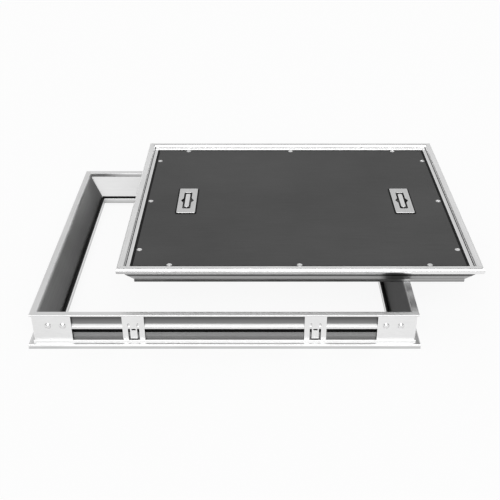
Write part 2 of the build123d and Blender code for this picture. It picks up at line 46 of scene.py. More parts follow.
# Frame, from the model's driving sizes. u runs inwards from the top flange's outer edge.
FRAME_WIDTH, FRAME_DEPTH = 1050.0, 898.0
FRAME_HEIGHT = 104.0
# A corner's fourth value is painted shade near it: under the lip, on the rib's shoulder, in the groove, on the web,
# the foot and the inner slope.
FRAME_OUTLINE = [
    (0, 104, 1.2), (0, 99, 1.0), (3, 99, 1.0, 1.0), (3, 100, 0.3, 1.0), (14.5, 100, 0.8, 1.0),
    (14.5, 69, 4.0, 0.72), (11.7, 63.6, 8.0, 0.35), (9, 58, 10.0), (9, 52.5, 0.7), (23, 52.5, 0.5, 1.0), (23, 37.5, 0.5, 1.0),
    (14.5, 37.5, 0.7, 0.7), (14.5, 19.5, 0.8, 0.7), (3, 19.5, 1.0), (3, 14, 0.5, 0.1), (-10, 14, 3.0),
    (-10, 0, 0.8, 0.35), (17.5, 0, 0.6, 0.4), (17.5, 25, 0.6, 0.6), (65, 25, 0.6, 0.6), (65, 10, 0.8, 0.6),
    (68, 10, 0.8, 0.4), (68, 28, 0.8), (61.5, 28, 0.5, 0.5), (17.5, 90, 2.0, 0.5), (17.5, 104, 1.0),
]
# The other rails have the same section, with more painted shade on the inner slope, the right one darkest.
LEFT_FRAME_OUTLINE = FRAME_OUTLINE[:23] + [(61.5, 28, 0.5, 0.75), (17.5, 90, 2.0, 0.55), (17.5, 104, 1.0)]
RIGHT_FRAME_OUTLINE = FRAME_OUTLINE[:23] + [(61.5, 28, 0.5, 0.9), (17.5, 90, 2.0, 0.85), (17.5, 104, 1.0)]
GASKET_OUTLINE = [(61.8, 28, 0.4), (67.4, 28, 0.4), (67.4, 35, 1.9), (61.8, 35, 1.9)]

# Corner brackets, anchor clips and rivets
BRACKET_OUT, BRACKET_IN, BRACKET_LEG, BRACKET_BEND = 5.0, 9.0, 110.0, 3.0
PLATE_LOW, PLATE_HIGH = 19.5, 100.0
RIVET_ALONG = (47.0, 87.0)
RIVET_Z = 66.0
CLIP_OUT, CLIP_IN, CLIP_WIDTH = 6.0, 9.0, 60.0
CLIP_AT = {"front": 247.0, "back": 247.0, "left": 180.0, "right": 180.0}
TONGUE_CUT_AT, TONGUE_CUT_WIDTH, TONGUE_TOP, TONGUE_BOTTOM = 12.5, 5.5, 73.0, 23.0
NAIL_SLOT_LONG, NAIL_SLOT_HIGH, NAIL_SLOT_Z = 12.0, 5.0, 52.5

# Cover, from the model's driving sizes. Heights are counted from the rim's top.
COVER_WIDTH, COVER_DEPTH = 1012.0, 860.0
COVER_AT = np.array([207.0, 80.0, 189.0])
SKIRT_BACK = 45.726
# A corner's fourth value is painted shade near it: under the nose, in the groove beside the land, over the skirt and
# the shelf below.
RIM_OUTLINE = [
    (0, 0, 11.0), (0, -22, 11.0), (14, -22, 1.0, 1.0), (27.4, -40.5, 3.0, 0.97), (29.2, -42.6, 3.0, 0.55),
    (42, -60, 1.2, 0.5), (42, -69, 0.8, 0.7), (55, -69, 0.6, 0.6),
    (55, -66, 0.6, 0.6), (SKIRT_BACK, -66, 0.6, 0.6), (SKIRT_BACK, -60, 0.8, 0.6), (19.2, -24, 0.6, 0.6),
    (62, -24, 0.6, 0.6), (62, -21, 0.6, 0.6), (34, -21, 0.5, 0.6), (34, -13, 2.0), (23.5, -13, 0.5),
    (23.5, -15.4, 0.4, 1.0), (22, -15.4, 0.4, 1.0), (22, 0, 10.9),
]
# The black seal strip is a real seal, made wide enough to stand in for the shadow line between rim and board.
BOARD_SEAL = [(34.2, -21, 0.3), (40.8, -21, 0.3), (40.8, -15.5, 1.2), (34.2, -15.5, 1.2)]
BOARD_TOP, BOARD_THICK = -15.0, 6.0
BOARD_WIDTH, BOARD_DEPTH = 930.0, 778.0
HANDLE_AT = 340.0
HANDLE_PLATE = (58.0, 165.0, 2.5, 1.4)
# The black seal round each handle plate is real, made wider than the plate to stand in for the shadow outline round
# it.
PLATE_SEAL = (66.0, 173.0, 1.0)
SEAL_OPENING = (42.0, 142.0, 6.0)
POCKET = (25.0, 110.0, 5.0)
NOTCH_OUT, NOTCH_LONG = 8.0, 30.0
CUP_OPENING = (48.0, 148.0, 9.0)
BAR = (14.0, 90.0, 5.0)
LEG_AT, LEG_RADIUS, SHOULDER_RADIUS = 36.0, 3.5, 5.5
SHOULDER_END, LEG_END = -29.7, -62.0
PAN_WIDTH, PAN_DEPTH, PAN_TOP, PAN_THICK = 920.0, 768.0, -63.0, 3.0
STIFFENER_AT = (-343.0, -115.0, 115.0, 343.0)
SCREW_RADIUS, SCREW_HIGH = 7.5, 3.2
SCREW_INSET_SHORT, SCREW_INSET_LONG = 50.0, 45.0

TURN = {"front": 0, "right": 90, "back": 180, "left": 270}
CORNER_TURN = {"front_left": 0, "front_right": 90, "back_right": 180, "back_left": 270}


# Shapes: each is (points, faces, weight), where the weight is 1 on a rubbed round, 0 on a flat and
# down to -1 in a recess, where it paints shade into the colour.

def turned(points, degrees):
    """Points turned about the upright axis."""
    a = math.radians(degrees)
    turn = np.array([[math.cos(a), -math.sin(a), 0], [math.sin(a), math.cos(a), 0], [0, 0, 1]])
    return points @ turn.T


def rounded(corners, steps=4, margin=1.6):
    """Closed outline with round corners. An arc's points lie at its centre plus the radius times the
    unit vector between its two tangent spokes; each straight run gets two more points near its ends.
    Corners are (x, y, radius) or (x, y, radius, shade), the last being how much shade is painted near
    the corner. Gives the points and their weight: 1 on a bare round, 0 on a bare flat, and minus the
    painted shade near a shaded corner."""
    data = np.array([tuple(c) + (0.0,) * (4 - len(c)) for c in corners])
    p, r, painted_shade = data[:, :2], data[:, 2], data[:, 3]
    back, on = np.roll(p, 1, 0) - p, np.roll(p, -1, 0) - p
    long_back, long_on = np.linalg.norm(back, axis=1), np.linalg.norm(on, axis=1)
    back, on = back / long_back[:, None], on / long_on[:, None]
    half = np.arccos(np.clip((back * on).sum(1), -1, 1)) / 2
    reach = r / np.tan(half)
    crowd = (reach + np.roll(reach, -1)) / (0.998 * long_on)
    reach = reach / np.maximum(1, np.maximum(crowd, np.roll(crowd, 1)))
    r = reach * np.tan(half)
    start, end = p + back * reach[:, None], p + on * reach[:, None]
    middle = back + on
    middle /= np.linalg.norm(middle, axis=1)[:, None]
    centre = p + middle * (r / np.sin(half))[:, None]
    s = np.linspace(0, 1, steps)[None, :, None]
    spoke = (1 - s) * (start - centre)[:, None] + s * (end - centre)[:, None]
    spoke *= (r[:, None] / np.linalg.norm(spoke, axis=2))[..., None]
    arc = centre[:, None] + spoke
    following = np.roll(start, -1, 0)
    run = following - end
    keep = np.minimum(margin / np.linalg.norm(run, axis=1), 0.3)[:, None]
    flat = np.stack([end + run * keep, following - run * keep], 1)
    points = np.concatenate([arc, flat], 1).reshape(-1, 2)
    wear_and_shade = np.repeat(np.where(painted_shade > 0, -painted_shade, 1.0)[:, None], steps + 2, 1)
    wear_and_shade[:, -2], wear_and_shade[:, -1] = -painted_shade, -np.roll(painted_shade, -1)
    return points, wear_and_shade.reshape(-1)


def shifted(loop, distance):
    """An outline moved to its own left by a distance: each point goes along the mean of its two
    edges' normals, lengthened by one over the cosine of half the turn."""
    on = np.roll(loop, -1, 0) - loop
    on /= np.maximum(np.linalg.norm(on, axis=1), 1e-9)[:, None]
    left = np.stack([-on[:, 1], on[:, 0]], 1)
    mean = left + np.roll(left, 1, 0)
    mean /= np.linalg.norm(mean, axis=1)[:, None]
    stretch = np.clip((mean * left).sum(1), 0.5, 1)
    return loop + mean * (distance / stretch)[:, None]


def counter_clockwise(loop):
    """True if the outline's area, half the sum of its cross products, is positive."""
    x, y = loop[:, 0], loop[:, 1]
    return (x * np.roll(y, -1) - np.roll(x, -1) * y).sum() > 0


def skin(rings, edge, caps=(True, True)):
    """Surface through closed rings of points: point j of ring i joins point j + 1 and ring i + 1.
    The first and last ring are closed with a flat face each."""
    rings = np.asarray(rings, float)
    m, n = rings.shape[:2]
    i, j = np.meshgrid(np.arange(m - 1), np.arange(n), indexing="ij")
    k = (j + 1) % n
    quads = np.stack([i * n + j, i * n + k, (i + 1) * n + k, (i + 1) * n + j], -1).reshape(-1, 4)
    faces = quads.tolist()
    if caps[0]:
        faces.append(list(range(n)))
    if caps[1]:
        faces.append(list(range((m - 1) * n, m * n)))
    return rings.reshape(-1, 3), faces, np.asarray(edge, float).reshape(-1)


def together(shapes):
    """Several shapes as one."""
    points, faces, edges, count = [], [], [], 0
    for p, f, e in shapes:
        points.append(p)
        edges.append(e)
        faces += [[v + count for v in face] for face in f]
        count += len(p)
    return np.concatenate(points), faces, np.concatenate(edges)


def moved(shape, by=(0, 0, 0), degrees=0):
    """A shape turned about the upright axis, then moved."""
    points, faces, edge = shape
    return turned(points, degrees) + np.asarray(by, float), faces, edge


def mitred(corners, side, width, depth, joint=0.5, steps=4):
    """One side of a mitred rectangle. A point of the section at distance u inwards runs along the side
    as far as the diagonal, so its ends lie at plus and minus half the length less u. The last bit of
    each end is drawn in by the joint width, which leaves a fine groove along the mitre."""
    length, across = (width, depth) if side in ("front", "back") else (depth, width)
    section, edge = rounded(corners, steps)
    inward = 1 if counter_clockwise(section) else -1
    small = shifted(section, inward * joint)
    stations = [(small, 0, 1), (section, joint, 1), (section, joint + 2, 0)]
    rings, weights = [], []
    for sign in (-1, 1):
        for points, pull, end in stations[::-sign]:
            x = sign * (length / 2 - points[:, 0] - pull)
            y = points[:, 0] - across / 2
            rings.append(np.stack([x, y, points[:, 1]], 1))
            weights.append(np.where(edge < 0, edge, np.maximum(edge, end)))
    points, faces, weight = skin(rings, weights)
    return turned(points, TURN[side]), faces, weight


def straight(corners, start, end, joint=0.4):
    """A section of (y, z) corners carried along X from start to end, with its end edges drawn in."""
    section, edge = rounded(corners, 4)
    inward = 1 if counter_clockwise(section) else -1
    small = shifted(section, inward * joint)
    stations = [(small, start, 1), (section, start + joint, 1), (section, start + 3, 0),
                (section, end - 3, 0), (section, end - joint, 1), (small, end, 1)]
    rings = [np.column_stack([np.full(len(p), x), p]) for p, x, _ in stations]
    return skin(rings, [np.maximum(edge, w) for _, _, w in stations])


FLAT_RING = 0.4


def slab(loops, low, high, rounds=(0.4, 0.4), steps=3):
    """A plate with holes between two heights. Each outline rises as a wall whose ends bend over in a
    quarter circle: at angle a the wall stands r(1 - sin a) inside the outline and r(1 - cos a) from
    the face. A narrow flat ring follows, and the faces are filled between the outlines. The first
    outline is the outer one."""
    points, faces, edges, rims, count = [], [], [], ([], []), 0
    angle = np.linspace(0, np.pi / 2, steps)
    for number, loop in enumerate(loops):
        if counter_clockwise(loop) != (number == 0):
            loop = loop[::-1]
        bottom = [(r, z) for r, z in zip(rounds[0] * (1 - np.sin(angle)), low + rounds[0] * (1 - np.cos(angle)))]
        top = [(r, z) for r, z in zip(rounds[1] * (1 - np.sin(angle)), high - rounds[1] * (1 - np.cos(angle)))]
        stations = [(rounds[0] + FLAT_RING, low)] + bottom + top[::-1] + [(rounds[1] + FLAT_RING, high)]
        rings = [np.column_stack([shifted(loop, r), np.full(len(loop), z)]) for r, z in stations]
        weight = np.ones((len(rings), len(loop)))
        weight[[0, -1]] = 0
        p, f, e = skin(rings, weight, (False, False))
        faces += [[v + count for v in face] for face in f]
        for rim, ring, first in zip(rims, (rings[0], rings[-1]), (0, (len(rings) - 1) * len(loop))):
            rim.append((ring, np.arange(len(loop)) + count + first))
        points.append(p)
        edges.append(e)
        count += len(p)
    for rim in rims:
        flat = [[(x, y, 0) for x, y, _ in ring] for ring, _ in rim]
        index = np.concatenate([numbers for _, numbers in rim])
        faces += [[int(index[v]) for v in face] for face in tessellate_polygon(flat)]
    return np.concatenate(points), faces, np.concatenate(edges)


def round_rectangle(width, depth, radius, centre=(0, 0), steps=6):
    """Outline of a rectangle with round corners."""
    x, y = width / 2, depth / 2
    corners = [(-x, -y, radius), (x, -y, radius), (x, y, radius), (-x, y, radius)]
    return rounded(corners, steps)[0] + np.asarray(centre, float)


def lathe(profile, sides=32):
    """A profile of (radius, height) turned about the upright axis: the point is radius times the
    cosine and sine of the angle, at its height. A radius of 0 closes a pole."""
    profile = np.asarray(profile, float)
    a = np.linspace(0, 2 * np.pi, sides, endpoint=False)
    rings = np.stack([profile[:, :1] * np.cos(a), profile[:, :1] * np.sin(a),
                      np.repeat(profile[:, 1:], sides, 1)], -1)
    return skin(rings, np.zeros(rings.shape[:2]), (False, False))


def dome(radius, high, steps=9):
    """Profile of a low dome from its top: an arc of the sphere through its rim and its top, then a
    short upright rim."""
    ball = (radius**2 + high**2) / (2 * high)
    reach = math.asin(radius / ball)
    a = np.linspace(0, reach * 0.97, steps)
    arc = np.column_stack([ball * np.sin(a), high - ball * (1 - np.cos(a))])
    return np.vstack([arc, [[radius, 0.35], [radius, 0.0], [0, 0]]])


# Finishes: small node builders

def node(tree, kind, values=None, **settings):
    """Add a node, set its properties, and put values or links into its inputs."""
    made = tree.nodes.new(kind)
    for key, value in settings.items():
        setattr(made, key, value)
    for key, value in (values or {}).items():
        socket = made.inputs[key]
        if isinstance(value, bpy.types.NodeSocket):
            tree.links.new(value, socket)
        else:
            socket.default_value = value
    return made


def grey(level):
    """A neutral colour."""
    return (level, level, level, 1.0)


def new_finish(name):
    """A material with one shader, and the piece's own coordinates."""
    material = bpy.data.materials.new(name)
    material.use_nodes = True
    tree = material.node_tree
    tree.nodes.clear()
    shader = node(tree, "ShaderNodeBsdfPrincipled")
    out = node(tree, "ShaderNodeOutputMaterial")
    tree.links.new(shader.outputs["BSDF"], out.inputs["Surface"])
    place = node(tree, "ShaderNodeTexCoord").outputs["Object"]
    return material, tree, shader, place


def cloud(tree, place, cells, detail=3.0, roughness=0.55):
    """Noise with so many cells a metre along X, Y and Z."""
    stretched = node(tree, "ShaderNodeMapping", {"Vector": place, "Scale": cells})
    noise = node(tree, "ShaderNodeTexNoise",
                 {"Vector": stretched.outputs["Vector"], "Scale": 1.0, "Detail": detail, "Roughness": roughness})
    return noise.outputs["Fac"]


def between(tree, fac, low, high, low_at=0.3, high_at=0.7):
    """Spread a noise value between two levels."""
    ranged = node(tree, "ShaderNodeMapRange", {"Value": fac, "From Min": low_at, "From Max": high_at,
                                               "To Min": low, "To Max": high})
    return ranged.outputs["Result"]


def summed(tree, kind, first, second):
    """Two values added, subtracted or multiplied."""
    return node(tree, "ShaderNodeMath", {0: first, 1: second}, operation=kind).outputs["Value"]


def wear_and_shade_weights(tree):
    """How much a point is rubbed bright, and how much shade is painted on it."""
    wear_and_shade = node(tree, "ShaderNodeAttribute", attribute_name="wear_and_shade").outputs["Fac"]
    return summed(tree, "MAXIMUM", wear_and_shade, 0.0), summed(tree, "MAXIMUM", summed(tree, "MULTIPLY", wear_and_shade, -1.0), 0.0)


def metal(name, level, rough, line_cells, contrast=0.10, broad=0.06, bump=0.12, edge_gain=0.10, tint=1.0):
    """Bare metal. Level is its reflectance. Fine lines vary colour, roughness and height, broad clouds
    dull it here and there, and rounded edges are rubbed a little brighter and smoother. Where the
    weight is negative, shade is painted in: the colour goes nearly black and the surface rougher."""
    material, tree, shader, place = new_finish(name)
    lines = cloud(tree, place, line_cells, 4.0, 0.65)
    stains = cloud(tree, place, (7.0, 7.0, 11.0), 4.0, 0.6)
    edge, painted_shade = wear_and_shade_weights(tree)
    shade = summed(tree, "ADD", between(tree, lines, -contrast, contrast), between(tree, stains, -broad, broad))
    shade = summed(tree, "ADD", shade, summed(tree, "MULTIPLY", edge, edge_gain))
    fac = between(tree, shade, 0.0, 1.0, -0.3, 0.3)
    mix = node(tree, "ShaderNodeMix", {0: fac}, data_type="RGBA")
    mix.inputs[6].default_value = (level * 0.72, level * 0.72, level * 0.72 * tint, 1.0)
    bright = min(level * 1.28, 1.0)
    mix.inputs[7].default_value = (bright, bright, bright * tint, 1.0)
    # Painted shade: where the weight is negative the colour is mixed towards 3% of the level.
    painted_shade_mix = node(tree, "ShaderNodeMix", {0: painted_shade, 6: mix.outputs[2]}, data_type="RGBA")
    painted_shade_mix.inputs[7].default_value = grey(level * 0.03)
    tree.links.new(painted_shade_mix.outputs[2], shader.inputs["Base Color"])
    shader.inputs["Metallic"].default_value = 1.0
    polish = summed(tree, "ADD", between(tree, lines, rough - 0.05, rough + 0.05), between(tree, stains, -0.05, 0.05))
    polish = summed(tree, "SUBTRACT", polish, summed(tree, "MULTIPLY", edge, 0.06))
    polish = summed(tree, "ADD", polish, summed(tree, "MULTIPLY", painted_shade, 0.08))
    tree.links.new(polish, shader.inputs["Roughness"])
    relief = node(tree, "ShaderNodeBump", {"Strength": bump, "Distance": 0.0004, "Height": lines})
    tree.links.new(relief.outputs["Normal"], shader.inputs["Normal"])
    return material


def rubber(name):
    """Matt black rubber: a fine skin pattern and slightly dusty clouds."""
    material, tree, shader, place = new_finish(name)
    skin_noise = cloud(tree, place, (900.0, 900.0, 900.0), 2.0)
    dust = cloud(tree, place, (14.0, 14.0, 30.0), 4.0)
    mix = node(tree, "ShaderNodeMix", {0: between(tree, dust, 0.0, 1.0)}, data_type="RGBA")
    mix.inputs[6].default_value = grey(0.008)
    mix.inputs[7].default_value = grey(0.016)
    tree.links.new(mix.outputs[2], shader.inputs["Base Color"])
    tree.links.new(between(tree, skin_noise, 0.55, 0.75), shader.inputs["Roughness"])
    shader.inputs["Specular IOR Level"].default_value = 0.10
    relief = node(tree, "ShaderNodeBump", {"Strength": 0.2, "Distance": 0.0003, "Height": skin_noise})
    tree.links.new(relief.outputs["Normal"], shader.inputs["Normal"])
    return material


def laminate(name):
    """Dark laminated board: a faint lengthwise grain, fine specks and broad tone changes."""
    material, tree, shader, place = new_finish(name)
    grain = cloud(tree, place, (9.0, 260.0, 40.0), 5.0, 0.6)
    specks = cloud(tree, place, (700.0, 700.0, 700.0), 2.0, 0.5)
    tone = cloud(tree, place, (3.0, 3.5, 3.0), 3.0, 0.5)
    shade = summed(tree, "ADD", between(tree, grain, -0.16, 0.16), between(tree, specks, -0.12, 0.12))
    shade = summed(tree, "ADD", shade, between(tree, tone, -0.14, 0.14))
    mix = node(tree, "ShaderNodeMix", {0: between(tree, shade, 0.0, 1.0, -0.4, 0.4)}, data_type="RGBA")
    mix.inputs[6].default_value = grey(0.048)
    mix.inputs[7].default_value = grey(0.092)
    tree.links.new(mix.outputs[2], shader.inputs["Base Color"])
    tree.links.new(between(tree, grain, 0.62, 0.74), shader.inputs["Roughness"])
    shader.inputs["Specular IOR Level"].default_value = 0.25
    relief = node(tree, "ShaderNodeBump", {"Strength": 0.12, "Distance": 0.0003, "Height": shade})
    tree.links.new(relief.outputs["Normal"], shader.inputs["Normal"])
    return material


def nylon(name):
    """Natural nylon with a faint mottle."""
    material, tree, shader, place = new_finish(name)
    mottle = cloud(tree, place, (220.0, 220.0, 220.0), 3.0)
    mix = node(tree, "ShaderNodeMix", {0: between(tree, mottle, 0.0, 1.0)}, data_type="RGBA")
    mix.inputs[6].default_value = (0.66, 0.65, 0.60, 1.0)
    mix.inputs[7].default_value = (0.76, 0.75, 0.70, 1.0)
    tree.links.new(mix.outputs[2], shader.inputs["Base Color"])
    tree.links.new(between(tree, mottle, 0.38, 0.5), shader.inputs["Roughness"])
    return material


LENGTHWISE = {"x": (2.2, 520.0, 520.0), "y": (520.0, 2.2, 520.0)}
rail_metal = {a: metal(f"drawn_frame_{a}", 0.78, 0.34, LENGTHWISE[a]) for a in "xy"}
rim_metal = {a: metal(f"drawn_rim_{a}", 0.80, 0.30, LENGTHWISE[a]) for a in "xy"}
bracket_metal = metal("bright_bracket", 0.98, 0.36, (60.0, 60.0, 420.0), 0.05, 0.05, 0.08)
rivet_metal = metal("formed_rivet", 0.86, 0.26, (240.0, 240.0, 240.0), 0.08, 0.05, 0.05)
key_metal = metal("pressed_key", 0.50, 0.45, (120.0, 120.0, 120.0))
pan_metal = metal("mill_sheet", 0.62, 0.40, (3.0, 420.0, 420.0), 0.10, 0.10)
beam_metal = metal("mill_section", 0.64, 0.38, (3.0, 420.0, 420.0), 0.10, 0.08)
screw_metal = metal("bright_screw", 1.0, 0.36, (300.0, 300.0, 300.0), 0.05, 0.04, 0.04)
plate_metal = metal("brushed_plate", 0.66, 0.30, (420.0, 6.0, 420.0), 0.10, 0.05, 0.10, 0.14)
bar_metal = metal("brushed_bar", 0.84, 0.28, (420.0, 6.0, 420.0), 0.10, 0.05, 0.10, 0.12)
cup_metal = metal("dull_cup", 0.26, 0.50, (160.0, 160.0, 160.0), 0.08, 0.10)
collar_metal = metal("turned_collar", 0.60, 0.34, (90.0, 90.0, 900.0))
black_rubber = rubber("black_rubber")
dark_board = laminate("dark_board")
bush_nylon = nylon("bush_nylon")


def piece(name, shape, body, slot, material, *nodes):
    """Make a closed mesh piece, smooth its rounds, and let it stand for its CAD nodes."""
    points, faces, edge = shape
    mesh = bpy.data.meshes.new(name)
    mesh.from_pydata((points * MM).tolist(), [], faces)
    weight = mesh.attributes.new("wear_and_shade", "FLOAT", "POINT")
    weight.data.foreach_set("value", np.asarray(edge, np.float32))
    work = bmesh.new()
    work.from_mesh(mesh)
    bmesh.ops.remove_doubles(work, verts=work.verts, dist=2e-6)
    bmesh.ops.recalc_face_normals(work, faces=work.faces)
    work.to_mesh(mesh)
    work.free()
    mesh.polygons.foreach_set("use_smooth", np.ones(len(mesh.polygons), bool))
    mesh.set_sharp_from_angle(angle=math.radians(38))
    mesh.materials.append(material)
    obj = bpy.data.objects.new(name, mesh)
    bpy.context.scene.collection.objects.link(obj)
    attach(obj, body)
    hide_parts(*nodes)
    return obj


def along(side):
    """The axis that a side's draw lines follow."""
    return "x" if side in ("front", "back") else "y"


def on_side(side, width, depth, at, shape):
    """A shape made at the middle of the front edge, put at its place on a side."""
    across = depth if side in ("front", "back") else width
    points, faces, edge = shape
    return turned(points + np.array([at, -across / 2, 0]), TURN[side]), faces, edge


def upright(shape):
    """A plate drawn in x and y with its thickness in z, stood up: y becomes height, z goes inwards."""
    points, faces, edge = shape
    return np.column_stack([points[:, 0], points[:, 2], points[:, 1]]), faces, edge


def bent_bracket():
    """Angle plate round the corner. Its section is swept along two paths at once, the outer face's
    and the inner face's, and a point at share t of the thickness lies at outer + t (inner - outer)."""
    thick = BRACKET_IN - BRACKET_OUT
    section, edge = rounded([(0, PLATE_LOW, 0.7), (thick, PLATE_LOW, 0.7), (thick, PLATE_HIGH, 0.7), (0, PLATE_HIGH, 0.7)])
    s = np.linspace(0, np.pi / 2, 7)
    bends = []
    for near, r in ((BRACKET_OUT, BRACKET_BEND), (BRACKET_IN, 0.3)):
        arc = near + r - r * np.column_stack([np.sin(s), np.cos(s)])
        stops = np.array([0, 0.5, 3.0])
        first = np.column_stack([BRACKET_LEG - stops, np.full(3, near)])
        bends.append(np.vstack([first, arc, first[::-1, ::-1]]))
    outer, inner = bends
    share = section[:, 0] / thick
    rings = outer[:, None] + share[None, :, None] * (inner - outer)[:, None]
    heights = np.broadcast_to(section[:, 1], rings.shape[:2]).copy()
    for end in (0, -1):
        heights[end] = PLATE_LOW + 0.5 + (heights[end] - PLATE_LOW) * (1 - 1.0 / (PLATE_HIGH - PLATE_LOW))
    weights = np.tile(edge, (len(rings), 1))
    weights[[0, 1, -1, -2]] = 1
    return skin(np.dstack([rings, heights]), weights)


def anchor_clip():
    """Plate with two cuts from below that free a tongue, and a nail slot in the tongue."""
    half, cut, w = CLIP_WIDTH / 2, TONGUE_CUT_AT, TONGUE_CUT_WIDTH / 2
    side = [(-half, PLATE_LOW, 1.2)]
    left = [(-cut - w, PLATE_LOW, 1.0), (-cut - w, TONGUE_TOP, w * 0.98), (-cut + w, TONGUE_TOP, w * 0.98), (-cut + w, TONGUE_BOTTOM, 1.0)]
    right = [(-x, y, r) for x, y, r in left[::-1]]
    corners = side + left + right + [(half, PLATE_LOW, 1.2), (half, PLATE_HIGH, 1.2), (-half, PLATE_HIGH, 1.2)]
    outer, _ = rounded(corners, 5)
    hole = round_rectangle(NAIL_SLOT_LONG, NAIL_SLOT_HIGH, NAIL_SLOT_HIGH * 0.495, (0, NAIL_SLOT_Z))
    return upright(slab([outer, hole], CLIP_OUT, CLIP_IN, (0.4, 0.3)))


def corner_rivet():
    """Round head outside and flat tail inside, lying along the inward axis."""
    head = dome(9.0, 4.6)
    points, faces, edge = lathe(head, 36)
    points = np.column_stack([points[:, 0], BRACKET_OUT - points[:, 2], RIVET_Z + points[:, 1]])
    tail, tail_faces, tail_edge = lathe([(0, 0), (5.1, 0), (5.5, 0.4), (5.5, 2.6), (5.1, 3.0), (0, 3.0)], 24)
    tail = np.column_stack([tail[:, 0], 17.5 + tail[:, 2], RIVET_Z + tail[:, 1]])
    return together([(points, faces, edge), (tail, tail_faces, tail_edge)])


for side in TURN:
    outline = {"left": LEFT_FRAME_OUTLINE, "right": RIGHT_FRAME_OUTLINE}.get(side, FRAME_OUTLINE)
    piece(f"rail_{side}", mitred(outline, side, FRAME_WIDTH, FRAME_DEPTH), "frame", "frame_aluminium",
          rail_metal[along(side)], f"frame_rail_{side}")
    piece(f"gasket_{side}", mitred(GASKET_OUTLINE, side, FRAME_WIDTH, FRAME_DEPTH, 0.2, 5), "frame", "gasket_rubber",
          black_rubber, f"seat_gasket_{side}")
    for number, sign in enumerate((-1, 1), start=1):
        clip = on_side(side, FRAME_WIDTH, FRAME_DEPTH, sign * CLIP_AT[side], anchor_clip())
        piece(f"clip_{side}_{number}", clip, "frame", "bracket_aluminium", bracket_metal, f"anchor_clip_{side}_{number}")
for corner, degrees in CORNER_TURN.items():
    x = FRAME_WIDTH / 2 * (1 if "right" in corner else -1)
    y = FRAME_DEPTH / 2 * (1 if "back" in corner else -1)
    piece(f"bracket_{corner}", moved(bent_bracket(), (x, y, 0), degrees), "frame", "bracket_aluminium",
          bracket_metal, f"corner_bracket_{corner}")
rivets = []
for side in TURN:
    length = FRAME_WIDTH if side in ("front", "back") else FRAME_DEPTH
    for sign in (-1, 1):
        for at in RIVET_ALONG:
            rivets.append(on_side(side, FRAME_WIDTH, FRAME_DEPTH, sign * (length / 2 - at), corner_rivet()))
piece("rivet_heads", together(rivets), "frame", "rivet_aluminium", rivet_metal, "corner_rivets")


# Cover

def rim_edge(side):
    """One mitred edge of the cover."""
    return moved(mitred(RIM_OUTLINE, side, COVER_WIDTH, COVER_DEPTH, 0.6, 7), COVER_AT)


def cross_head(radius, high):
    """Round screw head: a low dome in polar rings, lowered where either arm of a cross lies. The arm's
    depth falls off smoothly over a third of a millimetre at its sides and ends."""
    ball = (radius**2 + high**2) / (2 * high)
    r = np.concatenate([np.linspace(0, 5.0, 17), [5.7, 6.5, radius * 0.97]])
    a = np.linspace(0, 2 * np.pi, 64, endpoint=False)
    x, y = r[:, None] * np.cos(a), r[:, None] * np.sin(a)
    z = high - ball + np.sqrt(ball**2 - r[:, None] ** 2) + 0 * x

    def inside(v, limit):
        return np.clip((limit - np.abs(v)) / 0.35 + 0.5, 0, 1)

    arm = np.maximum(inside(x, 0.8) * inside(y, 4.0), inside(y, 0.8) * inside(x, 4.0))
    z = z - 1.5 * arm
    rings = list(np.stack([x, y, z], -1))
    rings.append(np.stack([radius * np.cos(a), radius * np.sin(a), 0 * a + 0.35], -1))
    rings.append(np.stack([radius * np.cos(a), radius * np.sin(a), 0 * a], -1))
    rings.append(np.stack([0 * a, 0 * a, 0 * a], -1))
    return skin(rings, np.zeros((len(rings), 64)), (False, False))


def screw_places():
    """Where the board's screws stand, in the cover's own plan."""
    x_edge, y_edge = COVER_WIDTH / 2 - SCREW_INSET_SHORT, COVER_DEPTH / 2 - SCREW_INSET_LONG
    rows = [(x, s * y_edge) for s in (-1, 1) for x in (-363.0, 0.0, 363.0)]
    return rows + [(s * x_edge, y) for s in (-1, 1) for y in (-302.0, 0.0, 302.0)]


def pan_rivet_places():
    """Where the pan's rivets stand, in the cover's own plan."""
    inset = 50.5
    x_edge, y_edge = COVER_WIDTH / 2 - inset, COVER_DEPTH / 2 - inset
    rows = [(x, s * y_edge) for s in (-1, 1) for x in (-400.0, -200.0, 0.0, 200.0, 400.0)]
    rows += [(s * x_edge, y) for s in (-1, 1) for y in (-220.0, 0.0, 220.0)]
    return rows + [(x, y + s * 25.5) for y in STIFFENER_AT for s in (-1, 1) for x in (-350.0, -120.0, 120.0, 350.0)]


def pocket_outline():
    """Pocket with a three-cornered finger notch at the middle of each long side."""
    x, y, r = POCKET[0] / 2, POCKET[1] / 2, POCKET[2]
    n = NOTCH_LONG / 2
    right = [(x, -y, r), (x, -n, 2.4), (x + NOTCH_OUT, 0, 1.5), (x, n, 2.4), (x, y, r)]
    return rounded(right + [(-a, -b, c) for a, b, c in right], 5)[0]


def handle_plate():
    """Bevelled plate round the pocket."""
    width, long, thick, bevel = HANDLE_PLATE
    outer = round_rectangle(width, long, 3.0)
    low = BOARD_TOP + PLATE_SEAL[2]
    return slab([outer, pocket_outline()], low, low + thick, (0.2, bevel), 4)


def lift_bar():
    """Flat bar with rounded edges on two stepped legs."""
    width, long, thick = BAR
    top = BOARD_TOP + PLATE_SEAL[2] + HANDLE_PLATE[2]
    bar = slab([round_rectangle(width, long, width * 0.45, steps=8)], top - thick, top, (0.4, 1.2), 5)
    leg = lathe([(0, top - thick + 0.4), (SHOULDER_RADIUS, top - thick + 0.4), (SHOULDER_RADIUS, SHOULDER_END + 0.4),
                 (SHOULDER_RADIUS - 0.4, SHOULDER_END), (LEG_RADIUS, SHOULDER_END), (LEG_RADIUS, LEG_END + 0.5),
                 (LEG_RADIUS - 0.5, LEG_END), (0, LEG_END)], 28)
    return together([bar] + [moved(leg, (0, s * LEG_AT, 0)) for s in (-1, 1)])


